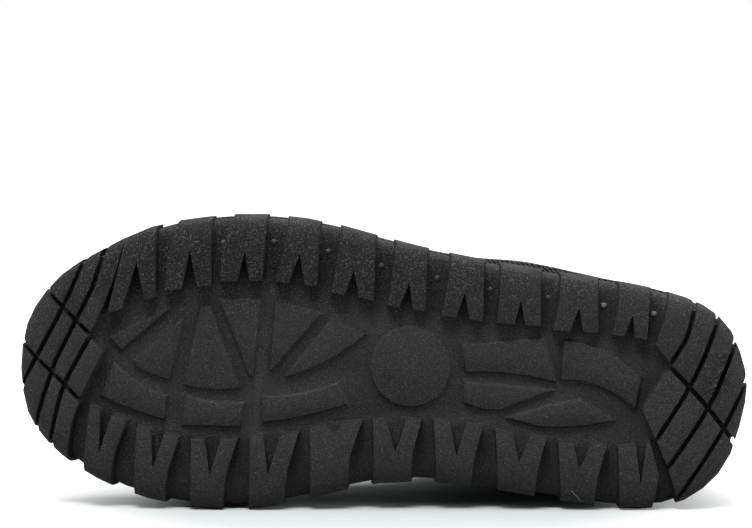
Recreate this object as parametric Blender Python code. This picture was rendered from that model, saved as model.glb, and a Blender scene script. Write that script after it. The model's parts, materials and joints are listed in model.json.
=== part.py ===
"""Winter boot for the left foot: a lugged rubber cup sole, a woven textile upper and an insole.

Every shape is worked out in the boot's own frame, in millimetres: x from the toe to the heel,
y from the outer side (negative) to the inner side (positive), z up from the tread. The forefoot
is then bent up by the toe spring, and the boot is laid down on its inner side.
"""
import math
from collections import namedtuple

import bmesh
import bpy
from mathutils import Vector

for item in list(bpy.data.objects):
    bpy.data.objects.remove(item, do_unlink=True)

MM = 0.001

# Sizes of the last and sole, in millimetres
SOLE_LENGTH = 312.0
BALL_WIDTH = 124.0
TOE_SPRING_RADIUS = 360.0
TOE_SPRING_SHARE = 34.6

# Sizes of the tread
LUG_DEPTH = 5.5
LUG_PROUD = 1.4
LUG_SIDE_HEIGHT = 15.0
LUG_FADE = 3.0
LUG_ROOT = 1.5
LUG_DRAFT = 4.0
EDGE_ROUND = 10.0
EDGE_DROP = 4.0
RELIEF_HEIGHT = 1.8
RELIEF_DRAFT = 20.0
DISC_DIAMETER = 35.0
GROOVE_WIDTH = 2.0
GROOVE_DEPTH = 4.0
NICK_RUN = 3.0
NICK_SEARCH = 6

# Sizes of the cup wall
CUP_WALL = 3.2
WALL_TUCK = 1.6
LIP_ROUND = 1.0
FOREFOOT_FLOOR = 13.5
HEEL_FLOOR = 24.0
RAMP_START = 36.0
RAMP_END = 76.0

# Sizes of the upper
UPPER_WALL = 2.5
SEAT_GAP = 0.3
COLLAR_HEIGHT = 235.0
COUNTER_HEIGHT = 70.0
BULGE_HEIGHT = 5.0
SHAFT_LENGTH = 122.0
SHAFT_WIDTH = 80.0
SHAFT_SQUARE = 2.5
SHAFT_TURN = 6.0
SHAFT_FLAT = 0.8
TOE_EDGE_REACH = 20.0
TOE_EDGE_SHARE = 0.32
TOE_EDGE_POWER = 2.2
CROWN_FALL = 0.25
LEAST_SLANT = 0.35
VAMP_END = 46.0
COUNTER_START = 74.0
INSOLE_THICKNESS = 4.5

# How finely the outline and the upper are divided
SIDE_STATIONS = 32
STATION_CROWDING = 1.6
VAMP_RINGS = 6
SHAFT_RINGS = (0.1, 0.25, 0.45, 0.7, 1.0)
BEND_CUTS = 11
DISC_SIDES = 40
BOW_STEPS = 5
GROOVE_STEPS = 6
THROAT_ROUNDING = 2

# Colours and roughness of the three materials, and the angle up to which edges are smooth
RUBBER = {"colour": (0.035, 0.033, 0.038), "roughness": 0.55, "smooth": 28.0}
TEXTILE = {"colour": (0.06, 0.065, 0.06), "roughness": 0.85, "smooth": 60.0}
FELT = {"colour": (0.1, 0.1, 0.1), "roughness": 0.95, "smooth": 30.0}

# Sole outline: hundredths of the sole length, then of the ball width
OUTLINE = (
    {"at": 0.0, "outer": 4.2, "inner": 4.2},
    {"at": 1.1, "outer": -12.1, "inner": 20.4},
    {"at": 2.6, "outer": -18.8, "inner": 26.2},
    {"at": 6.3, "outer": -28.9, "inner": 35.0},
    {"at": 11.5, "outer": -36.5, "inner": 42.6},
    {"at": 18.5, "outer": -44.6, "inner": 48.7},
    {"at": 26.9, "outer": -48.3, "inner": 51.7},
    {"at": 34.6, "outer": -49.2, "inner": 51.1},
    {"at": 42.7, "outer": -46.6, "inner": 46.8},
    {"at": 49.5, "outer": -42.1, "inner": 43.1},
    {"at": 56.3, "outer": -37.7, "inner": 42.5},
    {"at": 64.1, "outer": -33.6, "inner": 44.3},
    {"at": 72.6, "outer": -30.1, "inner": 48.2},
    {"at": 82.7, "outer": -26.0, "inner": 51.6},
    {"at": 89.8, "outer": -22.1, "inner": 50.4},
    {"at": 95.0, "outer": -16.6, "inner": 42.8},
    {"at": 97.9, "outer": -9.2, "inner": 32.5},
    {"at": 99.4, "outer": 0.5, "inner": 19.4},
    {"at": 100.0, "outer": 9.4, "inner": 9.4},
)

# Rounded edge of the tread's floor: share of its width inwards, share of its drop
FLOOR_EDGE = (
    {"inwards": 1.0, "drop": 0.0},
    {"inwards": 0.55, "drop": 0.1},
    {"inwards": 0.25, "drop": 0.38},
    {"inwards": 0.08, "drop": 0.72},
    {"inwards": 0.0, "drop": 1.25},
)

# Rounded edge of the lugs, in the same way
LUG_EDGE = (
    {"inwards": 1.0, "drop": 0.0},
    {"inwards": 0.5, "drop": 0.15},
    {"inwards": 0.2, "drop": 0.5},
    {"inwards": 0.05, "drop": 1.0},
    {"inwards": 0.0, "drop": 1.7},
)

# Height of the cup wall's rim, in millimetres, along hundredths of the sole length
RIM = (
    {"at": 0.0, "height": 36.0},
    {"at": 25.0, "height": 34.0},
    {"at": 55.0, "height": 34.5},
    {"at": 78.0, "height": 39.0},
    {"at": 100.0, "height": 42.0},
)

# How far the textile swells past the cup wall, in millimetres, on the outer and the inner side
BULGE = (
    {"at": 0.0, "outer": 2.0, "inner": 2.0},
    {"at": 20.0, "outer": 1.2, "inner": 1.2},
    {"at": 40.0, "outer": 0.5, "inner": 1.0},
    {"at": 63.0, "outer": 0.5, "inner": 1.0},
    {"at": 67.0, "outer": 2.8, "inner": 1.0},
    {"at": 73.0, "outer": 2.5, "inner": 1.0},
    {"at": 81.0, "outer": 0.7, "inner": 1.0},
    {"at": 100.0, "outer": 1.0, "inner": 1.0},
)

# Ridge of the vamp from toe to instep: hundredths of the sole length, millimetres
RIDGE = (
    {"at": 0.0, "height": 50.0},
    {"at": 5.0, "height": 57.0},
    {"at": 12.0, "height": 61.0},
    {"at": 22.0, "height": 67.0},
    {"at": 32.0, "height": 76.0},
    {"at": 42.0, "height": 90.0},
    {"at": 50.0, "height": 105.0},
    {"at": 58.0, "height": 121.0},
    {"at": 70.0, "height": 140.0},
    {"at": 100.0, "height": 150.0},
)

# Loops of the shaft from the throat to the collar: share of the way up, shares of the shaft's
# length and width, and the middle of the loop in hundredths of the sole length
SHAFT = (
    {"up": 0.0, "long": 1.08, "wide": 1.050, "middle": 76.8},
    {"up": 0.15, "long": 1.01, "wide": 1.040, "middle": 76.2},
    {"up": 0.35, "long": 0.98, "wide": 1.028, "middle": 75.8},
    {"up": 0.6, "long": 0.99, "wide": 1.010, "middle": 75.8},
    {"up": 0.85, "long": 1.01, "wide": 0.992, "middle": 76.0},
    {"up": 1.0, "long": 1.02, "wide": 0.985, "middle": 76.0},
)

# Side lugs, a row for each. Toe and heel sides: where they leave the outline and where they end,
# in hundredths of the length, then how far across both ends lie. The notch: the place of its apex,
# along and across, and the two sides of its mouth. Last, how far the longer flank swells
Lug = namedtuple("Lug", "root tip end apex mouth swell")
OUTER_LUGS = (
    Lug((15.6, 19.6), (13.0, 19.7), (-15.4, -21.5), (17.1, -33.4), (15.0, 18.2), 0.0),
    Lug((22.8, 27.3), (21.0, 27.3), (-23.6, -25.4), (24.4, -37.3), (23.3, 25.4), -0.6),
    Lug((30.6, 34.9), (28.5, 34.2), (-26.8, -27.2), (31.9, -37.1), (30.8, 32.5), -0.8),
    Lug((38.1, 42.0), (36.1, 41.7), (-26.9, -25.2), (39.3, -36.4), (37.8, 39.9), 0.0),
    Lug((45.2, 49.5), (43.5, 49.3), (-23.1, -20.3), (46.6, -31.0), (45.4, 47.3), 0.0),
    Lug((52.4, 56.5), (51.2, 56.3), (-18.6, -16.6), (54.1, -26.5), (52.7, 54.6), 0.0),
    Lug((59.9, 64.2), (58.4, 64.1), (-15.2, -13.2), (61.6, -23.1), (60.4, 62.3), 0.1),
    Lug((66.6, 71.9), (65.9, 71.9), (-12.8, -11.5), (69.2, -20.6), (68.3, 69.8), 0.1),
    Lug((74.7, 79.6), (73.5, 79.7), (-10.1, -9.4), (77.1, -17.9), (75.8, 77.6), 0.3),
    Lug((82.6, 86.7), (81.5, 86.3), (-8.7, -7.0), (84.3, -15.5), (83.2, 84.6), 0.3),
)
INNER_LUGS = (
    Lug((9.3, 13.0), (10.5, 15.6), (16.0, 21.2), (11.7, 32.8), (11.9, 13.6), -0.4),
    Lug((16.5, 20.5), (17.0, 22.8), (23.2, 26.8), (19.2, 37.5), (18.9, 20.8), -0.4),
    Lug((24.2, 28.6), (24.5, 30.9), (27.4, 26.9), (27.0, 39.7), (26.3, 28.6), -0.6),
    Lug((32.3, 36.9), (32.5, 39.1), (26.3, 24.9), (34.9, 39.6), (34.3, 36.7), -0.4),
    Lug((40.7, 45.6), (40.6, 47.7), (23.4, 21.0), (44.1, 25.4), (42.8, 45.2), -0.6),
    Lug((49.3, 54.2), (49.2, 55.8), (20.7, 20.4), (52.2, 31.7), (51.0, 53.7), -0.4),
    Lug((57.9, 62.4), (57.4, 64.1), (20.4, 22.7), (60.5, 33.1), (59.6, 61.8), -0.3),
    Lug((66.3, 71.0), (65.8, 72.7), (24.2, 26.9), (69.0, 34.9), (68.1, 70.5), -0.3),
    Lug((74.8, 79.1), (74.3, 80.9), (28.0, 29.3), (77.2, 37.6), (76.4, 78.7), -0.3),
    Lug((82.8, 87.0), (82.4, 86.8), (30.3, 28.0), (85.5, 42.8), (84.8, 86.3), 1.1),
)

# Inner edges of the blocks that fill the toe and the heel, from the outer to the inner side
TOE_BLOCK_EDGE = (
    {"at": 15.4, "across": -41.2},
    {"at": 14.2, "across": -29.9},
    {"at": 12.8, "across": -20.2},
    {"at": 10.6, "across": -8.4},
    {"at": 12.6, "across": -3.4},
    {"at": 10.8, "across": 5.3},
    {"at": 9.1, "across": 13.7},
    {"at": 7.9, "across": 22.4},
    {"at": 7.0, "across": 34.2},
)
HEEL_BLOCK_EDGE = (
    {"at": 89.5, "across": -22.8},
    {"at": 88.5, "across": -13.2},
    {"at": 87.4, "across": -5.3},
    {"at": 89.5, "across": 1.2},
    {"at": 85.6, "across": 16.6},
    {"at": 87.4, "across": 26.6},
    {"at": 89.2, "across": 37.2},
    {"at": 90.5, "across": 47.9},
)

# Grooves across those blocks, each through four places: along and across
GROOVES = (
    {"name": "toe arc 1", "along": (10.0, 7.8, 4.2, 0.6), "across": (-36.9, -22.7, -5.9, 9.7)},
    {"name": "toe arc 2", "along": (12.9, 10.9, 5.6, 2.4), "across": (-41.6, -23.9, 1.2, 25.3)},
    {"name": "toe arc 3", "along": (11.3, 8.6, 6.4, 4.4), "across": (-10.5, 1.0, 12.2, 32.2)},
    {"name": "toe slant 1", "along": (3.8, 7.1, 10.0, 13.3), "across": (-24.1, -16.4, -9.4, -1.5)},
    {"name": "toe slant 2", "along": (0.3, 3.4, 6.3, 9.8), "across": (-5.6, 1.6, 8.0, 16.5)},
    {"name": "heel arc 1", "along": (93.3, 91.8, 90.7, 89.0), "across": (-23.0, -8.7, -3.6, 3.6)},
    {"name": "heel arc 2", "along": (96.4, 94.1, 91.1, 87.0), "across": (-17.4, -1.2, 13.6, 29.6)},
    {"name": "heel arc 3", "along": (98.6, 95.7, 92.1, 88.5), "across": (-7.9, 11.1, 26.6, 39.3)},
    {"name": "heel arc 4", "along": (100.0, 97.1, 93.9, 90.0), "across": (6.7, 21.7, 35.2, 49.6)},
    {"name": "heel slant", "along": (88.9, 92.2, 95.3, 98.7), "across": (1.0, 9.7, 18.7, 30.2)},
)

# Low raised pieces of the tread's floor: four corners each, and how far the sides between the
# first two and the last two corners bow outwards, in millimetres
RELIEF = (
    {"along": (12.8, 21.9, 20.8, 14.6), "across": (-7.2, -17.8, -15.4, -2.1), "bow": (0.8, 0.0)},
    {"along": (16.1, 23.7, 21.5, 16.8), "across": (1.0, -15.0, 7.9, 3.4), "bow": (0.0, 0.4)},
    {"along": (25.6, 27.1, 31.2, 23.2), "across": (-17.9, -18.5, 10.2, 9.3), "bow": (0.0, 1.3)},
    {"along": (28.1, 34.2, 33.0, 32.3), "across": (-20.7, -20.7, 6.4, 6.0), "bow": (0.0, 0.0)},
    {"along": (35.9, 42.3, 35.6, 35.0), "across": (-20.0, -15.6, 4.0, 4.0), "bow": (0.4, 0.0)},
    {"along": (37.0, 43.6, 48.5, 37.5), "across": (6.0, -14.2, -8.7, 6.7), "bow": (0.0, 2.1)},
    {"along": (13.4, 21.1, 20.7, 11.5), "across": (1.1, 12.5, 21.4, 13.3), "bow": (-2.1, 0.8)},
    {"along": (23.6, 31.9, 31.2, 23.0), "across": (12.4, 14.6, 23.6, 23.1), "bow": (-1.5, 0.0)},
    {"along": (34.1, 44.8, 45.8, 34.1), "across": (12.6, 7.4, 15.7, 22.2), "bow": (-1.9, 1.1)},
    {"along": (61.1, 72.5, 74.3, 61.6), "across": (-4.9, -7.7, 8.4, 4.7), "bow": (0.0, -1.5)},
    {"along": (75.0, 85.8, 84.9, 74.5), "across": (-7.0, 6.4, 18.0, 7.4), "bow": (3.8, -3.8)},
    {"along": (61.6, 74.0, 66.6, 61.4), "across": (7.7, 10.6, 17.7, 15.0), "bow": (0.4, 1.3)},
    {"along": (66.9, 77.3, 82.3, 71.9), "across": (20.2, 13.6, 21.2, 23.6), "bow": (0.8, 1.3)},
)
DISC_AT = {"at": 54.3, "across": 2.6}


def along(share):
    """Distance from the toe for hundredths of the sole length."""
    return share / 100.0 * SOLE_LENGTH


def across(share):
    """Distance from the middle line for hundredths of the ball width."""
    return share / 100.0 * BALL_WIDTH


def smooth_value(keys, values, key):
    """Value at a key on a smooth curve through the rows of a table."""
    if key <= keys[0]:
        return values[0]
    if key >= keys[-1]:
        return values[-1]
    i = max(n for n in range(len(keys) - 1) if keys[n] <= key)
    span = keys[i + 1] - keys[i]
    t = (key - keys[i]) / span

    def slope(n):
        if n == 0:
            return (values[1] - values[0]) / (keys[1] - keys[0])
        if n == len(keys) - 1:
            return (values[n] - values[n - 1]) / (keys[n] - keys[n - 1])
        return (values[n + 1] - values[n - 1]) / (keys[n + 1] - keys[n - 1])

    a = slope(i) * span
    b = slope(i + 1) * span
    rise = values[i + 1] - values[i]
    return values[i] + t * (a + t * (3.0 * rise - 2.0 * a - b + t * (a + b - 2.0 * rise)))


def table_value(table, key_name, value_name, key):
    """Smooth value of one column of a table."""
    return smooth_value([row[key_name] for row in table], [row[value_name] for row in table], key)


def turn_of(share):
    """Angle round the outline, 0 at the toe and 180 degrees at the heel, for a share of length."""
    return math.acos(max(-1.0, min(1.0, 1.0 - share / 50.0)))


toe_spring_start = along(TOE_SPRING_SHARE)

OUTLINE_TURNS = [turn_of(row["at"]) for row in OUTLINE]
LOOP_TURNS = (
    [-t for t in reversed(OUTLINE_TURNS[1:4])]
    + OUTLINE_TURNS
    + [2.0 * math.pi - t for t in reversed(OUTLINE_TURNS[:-1])]
    + [2.0 * math.pi + t for t in OUTLINE_TURNS[1:4]]
)
LOOP_ACROSS = (
    [row["inner"] for row in reversed(OUTLINE[1:4])]
    + [row["outer"] for row in OUTLINE]
    + [row["inner"] for row in reversed(OUTLINE[:-1])]
    + [row["outer"] for row in OUTLINE[1:4]]
)


def outline_point(turn):
    """Point of the tread's outline, the outer side for turns up to 180 degrees."""
    x = SOLE_LENGTH * (1.0 - math.cos(turn)) / 2.0
    return Vector((x, across(smooth_value(LOOP_TURNS, LOOP_ACROSS, turn))))


def inset_point(turn, inset):
    """Point of the outline moved inwards at right angles to it."""
    step = 0.02
    ahead = outline_point((turn + step) % (2.0 * math.pi))
    behind = outline_point((turn - step) % (2.0 * math.pi))
    run = ahead - behind
    inwards = Vector((-run.y, run.x)).normalized()
    return outline_point(turn) + inwards * inset


TURNS = [math.pi * i / SIDE_STATIONS for i in range(2 * SIDE_STATIONS)]
TURNS_FINE = [math.pi * i / (4 * SIDE_STATIONS) for i in range(8 * SIDE_STATIONS)]


def rim_height(x):
    return table_value(RIM, "at", "height", x / SOLE_LENGTH * 100.0)


def eased(value, low, high):
    """Share of the way from low to high, with a soft start and a soft end."""
    t = max(0.0, min(1.0, (value - low) / (high - low)))
    return t * t * (3.0 - 2.0 * t)


def cup_floor(x):
    """Height of the cup's floor: level under the forefoot, a ramp at the arch, level at the heel."""
    return FOREFOOT_FLOOR + (HEEL_FLOOR - FOREFOOT_FLOOR) * eased(x, along(RAMP_START), along(RAMP_END))


def ring(inset, height):
    """Loop of points inside the outline; inset and height are numbers, or functions of turn and x."""
    points = []
    for turn in TURNS:
        p = inset_point(turn, inset(turn) if callable(inset) else inset)
        z = height(p.x) if callable(height) else height
        points.append(Vector((p.x, p.y, z)))
    return points


def new_object(name, bm):
    """Object from a bmesh in millimetres, faces turned out."""
    bmesh.ops.recalc_face_normals(bm, faces=bm.faces)
    mesh = bpy.data.meshes.new(name)
    bm.to_mesh(mesh)
    bm.free()
    made = bpy.data.objects.new(name, mesh)
    bpy.context.collection.objects.link(made)
    return made


def bridge(bm, lower, upper):
    """Quads between two loops of as many vertices."""
    count = len(lower)
    for i in range(count):
        j = (i + 1) % count
        bm.faces.new((lower[i], lower[j], upper[j], upper[i]))


def ladder_cap(bm, loop):
    """Cap of cross strips between the outer and the inner side of a loop."""
    count = len(loop)
    half = count // 2
    for i in range(half):
        a = loop[i]
        b = loop[i + 1]
        c = loop[(count - i - 1) % count]
        d = loop[(count - i) % count]
        corners = [a, b, c, d]
        corners = [v for n, v in enumerate(corners) if v not in corners[:n]]
        bm.faces.new(corners)


def loft(name, rings, cap_first="flat", cap_last="flat"):
    """Closed solid through loops of points."""
    bm = bmesh.new()
    loops = [[bm.verts.new(p) for p in points] for points in rings]
    for lower, upper in zip(loops[:-1], loops[1:]):
        bridge(bm, lower, upper)
    for loop, cap in ((loops[0], cap_first), (loops[-1], cap_last)):
        if cap == "flat":
            bm.faces.new(loop)
        else:
            ladder_cap(bm, loop)
    return new_object(name, bm)


def grown(corners, by):
    """Plan with every side moved outwards, or inwards where the distance is negative."""
    plan = [Vector(p) for p in corners]
    turning = sum(p.cross(q) for p, q in zip(plan, plan[1:] + plan[:1]))
    moved = []
    for i, p in enumerate(plan):
        before = (p - plan[i - 1]).normalized()
        after = (plan[(i + 1) % len(plan)] - p).normalized()
        if turning < 0.0:
            before, after = -before, -after
        aside = Vector((before.y + after.y, -before.x - after.x))
        moved.append(p + aside * by / (1.0 + before.dot(after)))
    return moved


def prism(bm, corners, low, high, true_at, draft):
    """Prism over a plan that is true at one height and grows upwards by the draft, in degrees."""
    slope = math.tan(math.radians(draft))
    lower = [bm.verts.new((p.x, p.y, low)) for p in grown(corners, (low - true_at) * slope)]
    upper = [bm.verts.new((p.x, p.y, high)) for p in grown(corners, (high - true_at) * slope)]
    bm.faces.new(lower)
    bm.faces.new(upper)
    bridge(bm, lower, upper)


def combine(target, tool, operation):
    """Boolean of two solids; the tool is used up."""
    modifier = target.modifiers.new("combine", "BOOLEAN")
    modifier.operation = operation
    modifier.object = tool
    modifier.solver = "EXACT"
    modifier.use_self = True
    bpy.context.view_layer.objects.active = target
    bpy.ops.object.modifier_apply(modifier=modifier.name)
    bpy.data.objects.remove(tool, do_unlink=True)


# The sole's body: tread floor with a rounded edge, outer wall, rim and cup
wall_outside = LUG_PROUD + WALL_TUCK
wall_inside = wall_outside + CUP_WALL


def body_rings():
    edge = EDGE_ROUND - LUG_PROUD
    rings = []
    for row in FLOOR_EDGE:
        rings.append(ring(LUG_PROUD + edge * row["inwards"], LUG_DEPTH + EDGE_DROP * row["drop"]))
    rings.append(ring(wall_outside, lambda x: rim_height(x) - LIP_ROUND))
    rings.append(ring(wall_outside + LIP_ROUND, rim_height))
    rings.append(ring(wall_inside, rim_height))
    rings.append(ring(wall_inside, cup_floor))
    return rings


sole = loft("outsole", body_rings(), cap_last="ladder")

# The form that the lugs are cut from: flat tread, rounded edge, upright side
lug_rings = [ring(EDGE_ROUND * row["inwards"], EDGE_DROP * row["drop"]) for row in LUG_EDGE]
lug_rings += [
    ring(0.0, LUG_SIDE_HEIGHT),
    ring(wall_outside, LUG_SIDE_HEIGHT + LUG_FADE),
    ring(wall_outside + LUG_ROOT, LUG_SIDE_HEIGHT + LUG_FADE),
    ring(wall_outside + LUG_ROOT, LUG_DEPTH + EDGE_DROP),
]
lugs = loft("lugs", lug_rings)

# How far the plans of lugs and grooves reach past the outline, and their lower and upper ends
OUTSIDE = 9.0
BELOW = -3.0
ABOVE = LUG_SIDE_HEIGHT + LUG_FADE + LUG_ROOT


def outline_across(share, side):
    """Edge of the outline at a share of the length, on the outer (-1) or inner (1) side."""
    turn = turn_of(share)
    return outline_point(turn if side < 0 else 2.0 * math.pi - turn).y


def lug_plan(row, side):
    """Plan of one side lug: a root at the outline, two prongs and the notch between them."""
    root_toe, root_heel = row.root
    tip_toe, tip_heel = row.tip
    end_toe, end_heel = row.end
    out = side * OUTSIDE
    edge_toe = outline_across(root_toe, side)
    edge_heel = outline_across(root_heel, side)
    swell_toe = row.swell if side < 0 else 0.0
    swell_heel = row.swell if side > 0 else 0.0
    slant = (end_heel - end_toe) / (tip_heel - tip_toe)
    mouth_toe, mouth_heel = [end_toe + slant * (m - tip_toe) for m in row.mouth]
    return [
        (along(root_toe), edge_toe + out),
        (along(root_toe), edge_toe),
        (along((root_toe + tip_toe) / 2.0 + swell_toe), (edge_toe + across(end_toe)) / 2.0),
        (along(tip_toe), across(end_toe)),
        (along(row.mouth[0]), across(mouth_toe)),
        (along(row.apex[0]), across(row.apex[1])),
        (along(row.mouth[1]), across(mouth_heel)),
        (along(tip_heel), across(end_heel)),
        (along((root_heel + tip_heel) / 2.0 + swell_heel), (edge_heel + across(end_heel)) / 2.0),
        (along(root_heel), edge_heel),
        (along(root_heel), edge_heel + out),
    ]


plans = bmesh.new()
for lug in OUTER_LUGS:
    prism(plans, lug_plan(lug, -1), BELOW, ABOVE, 0.0, LUG_DRAFT)
for lug in INNER_LUGS:
    prism(plans, lug_plan(lug, 1), BELOW, ABOVE, 0.0, LUG_DRAFT)
for table, end in ((TOE_BLOCK_EDGE, -OUTSIDE), (HEEL_BLOCK_EDGE, SOLE_LENGTH + OUTSIDE)):
    edge = [(along(row["at"]), across(row["across"])) for row in table]
    first = (edge[0][0], edge[0][1] - OUTSIDE * 2.0)
    last = (edge[-1][0], edge[-1][1] + OUTSIDE * 2.0)
    block = [(end, first[1]), first] + edge + [last, (end, last[1])]
    prism(plans, block, BELOW, ABOVE, 0.0, LUG_DRAFT)
combine(lugs, new_object("plans", plans), "INTERSECT")


def through(values, steps):
    """Evenly spaced values on a smooth curve through four values."""
    keys = [0.0, 1.0, 2.0, 3.0]
    return [smooth_value(keys, values, 3.0 * i / steps) for i in range(steps + 1)]


def groove_plan(row, steps):
    """Plan of a groove: its middle line widened to both sides."""
    line = zip(through(row["along"], steps), through(row["across"], steps))
    middle = [Vector((along(a), across(b))) for a, b in line]
    left = []
    right = []
    for i, p in enumerate(middle):
        run = middle[min(i + 1, steps)] - middle[max(i - 1, 0)]
        aside = Vector((-run.y, run.x)).normalized() * GROOVE_WIDTH / 2.0
        left.append(p + aside)
        right.append(p - aside)
    return left + right[::-1]


def outline_gap(p):
    """Distance from a place to the nearest station of the outline."""
    return min((p - outline_point(turn)).length for turn in TURNS_FINE)


def nick_plan(tip, neighbour):
    """Plan of the deep end of a groove, where it leaves through the outline; None if it ends inside."""
    outwards = (tip - neighbour).normalized()
    reach = [tip + outwards * step for step in range(-NICK_SEARCH, NICK_SEARCH + 1)]
    leaving = min(reach, key=outline_gap)
    if outline_gap(leaving) > GROOVE_WIDTH:
        return None
    aside = Vector((-outwards.y, outwards.x)) * GROOVE_WIDTH / 2.0
    start = leaving - outwards * NICK_RUN
    end = leaving + outwards * OUTSIDE
    return [start + aside, end + aside, end - aside, start - aside]


for row in GROOVES:
    cutter = bmesh.new()
    prism(cutter, groove_plan(row, GROOVE_STEPS), BELOW, GROOVE_DEPTH, 0.0, -LUG_DRAFT)
    combine(lugs, new_object("groove", cutter), "DIFFERENCE")
    points = [Vector((along(a), across(b))) for a, b in zip(row["along"], row["across"])]
    for tip, neighbour in ((points[0], points[1]), (points[-1], points[-2])):
        nick = nick_plan(tip, neighbour)
        if nick is not None:
            cutter = bmesh.new()
            prism(cutter, nick, BELOW, ABOVE, 0.0, 0.0)
            combine(lugs, new_object("nick", cutter), "DIFFERENCE")


def bowed(a, b, bow, steps):
    """Points from a to just short of b on a shallow arc that bows to the right of the run."""
    if abs(bow) < 0.05:
        return [a]
    run = b - a
    aside = Vector((run.y, -run.x)).normalized()
    shares = [i / steps for i in range(steps)]
    return [a + run * t + aside * bow * 4.0 * t * (1.0 - t) for t in shares]


def relief_plan(row):
    corner = [Vector((along(a), across(b))) for a, b in zip(row["along"], row["across"])]
    return (
        bowed(corner[0], corner[1], row["bow"][0], BOW_STEPS)
        + [corner[1]]
        + bowed(corner[2], corner[3], row["bow"][1], BOW_STEPS)
        + [corner[3]]
    )


relief = bmesh.new()
relief_top = LUG_DEPTH - RELIEF_HEIGHT
sunk = LUG_DEPTH + LUG_ROOT
for row in RELIEF:
    prism(relief, relief_plan(row), relief_top, sunk, LUG_DEPTH, RELIEF_DRAFT)
disc_middle = Vector((along(DISC_AT["at"]), across(DISC_AT["across"])))
disc = []
for i in range(DISC_SIDES):
    angle = 2.0 * math.pi * i / DISC_SIDES
    disc.append(disc_middle + DISC_DIAMETER / 2.0 * Vector((math.cos(angle), math.sin(angle))))
prism(relief, disc, relief_top, sunk, LUG_DEPTH, RELIEF_DRAFT)

combine(sole, lugs, "UNION")
combine(sole, new_object("relief", relief), "UNION")


def bend(p):
    """Toe spring: everything ahead of its start is rolled up round a level axis."""
    ahead = toe_spring_start - p.x
    if ahead <= 0.0:
        return Vector(p)
    angle = ahead / TOE_SPRING_RADIUS
    reach = TOE_SPRING_RADIUS - p.z
    x = toe_spring_start - reach * math.sin(angle)
    return Vector((x, p.y, TOE_SPRING_RADIUS - reach * math.cos(angle)))


def finish(made, cuts, look):
    """Bend the solid, clean it, bring it to metres and give it its material."""
    bm = bmesh.new()
    bm.from_mesh(made.data)
    for i in range(cuts):
        x = toe_spring_start * (i + 1) / (cuts + 0.5)
        parts = bm.verts[:] + bm.edges[:] + bm.faces[:]
        bmesh.ops.bisect_plane(bm, geom=parts, dist=0.001, plane_co=(x, 0, 0), plane_no=(1, 0, 0))
    bmesh.ops.remove_doubles(bm, verts=bm.verts, dist=0.01)
    bmesh.ops.dissolve_degenerate(bm, edges=bm.edges, dist=0.005)
    bmesh.ops.triangulate(bm, faces=[f for f in bm.faces if len(f.verts) > 4])
    for v in bm.verts:
        v.co = bend(v.co) * MM
    bmesh.ops.triangulate(bm, faces=bm.faces)
    bmesh.ops.recalc_face_normals(bm, faces=bm.faces)
    bm.to_mesh(made.data)
    bm.free()
    made.data.shade_smooth()
    made.data.set_sharp_from_angle(angle=math.radians(look["smooth"]))
    material = bpy.data.materials.new(made.name + " material")
    material.use_nodes = True
    shader = material.node_tree.nodes["Principled BSDF"]
    shader.inputs["Base Color"].default_value = (*look["colour"], 1.0)
    shader.inputs["Roughness"].default_value = look["roughness"]
    made.data.materials.clear()
    made.data.materials.append(material)


finish(sole, BEND_CUTS, RUBBER)

# The upper: seated in the cup, swelling over the rim, closing over the vamp and rising to the collar
floor_plane = max(v.co.y for v in sole.data.vertices) / MM
seat_inset = wall_inside + SEAT_GAP


def swell_inset(turn):
    """Inset of the textile where it swells over the rim."""
    side = "outer" if turn <= math.pi else "inner"
    share = 50.0 * (1.0 - math.cos(turn))
    return wall_outside - table_value(BULGE, "at", side, share)


def vamp_crown(p, middle, half_width, base):
    """Height of the vamp over a point of the plan, without the rounding of its edge."""
    ridge = table_value(RIDGE, "at", "height", p.x / SOLE_LENGTH * 100.0)
    share = min(1.0, abs(p.y - middle) / half_width)
    return ridge - (ridge - base) * CROWN_FALL * share * share


def shaft_loop(up):
    """Loop of the shaft at a share of its height: a rounded oblong, turned a little across the
    foot, whose inner side is pressed flat where it rests on the floor plane."""
    long_half = SHAFT_LENGTH / 2.0 * table_value(SHAFT, "up", "long", up)
    wide_half = SHAFT_WIDTH / 2.0 * table_value(SHAFT, "up", "wide", up)
    middle = along(table_value(SHAFT, "up", "middle", up))
    turned = math.radians(SHAFT_TURN)
    power = 2.0 / SHAFT_SQUARE
    points = []
    for i in range(2 * SIDE_STATIONS):
        way = i / SIDE_STATIONS if i <= SIDE_STATIONS else 2.0 - i / SIDE_STATIONS
        angle = math.pi * way ** STATION_CROWDING
        side = -1.0 if i <= SIDE_STATIONS else 1.0
        u = -long_half * math.copysign(abs(math.cos(angle)) ** power, math.cos(angle))
        v = side * wide_half * abs(math.sin(angle)) ** power
        x = u * math.cos(turned) - v * math.sin(turned)
        y = u * math.sin(turned) + v * math.cos(turned)
        points.append(Vector((x, y)))
    shift = floor_plane - max(p.y for p in points) + SHAFT_FLAT
    return [Vector((middle + p.x, min(floor_plane, p.y + shift))) for p in points]


def outline_middle(x):
    """Middle and half width of the outline at a distance from the toe."""
    share = max(0.2, min(99.8, x / SOLE_LENGTH * 100.0))
    outer = outline_across(share, -1)
    inner = outline_across(share, 1)
    return (outer + inner) / 2.0, (inner - outer) / 2.0


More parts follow.
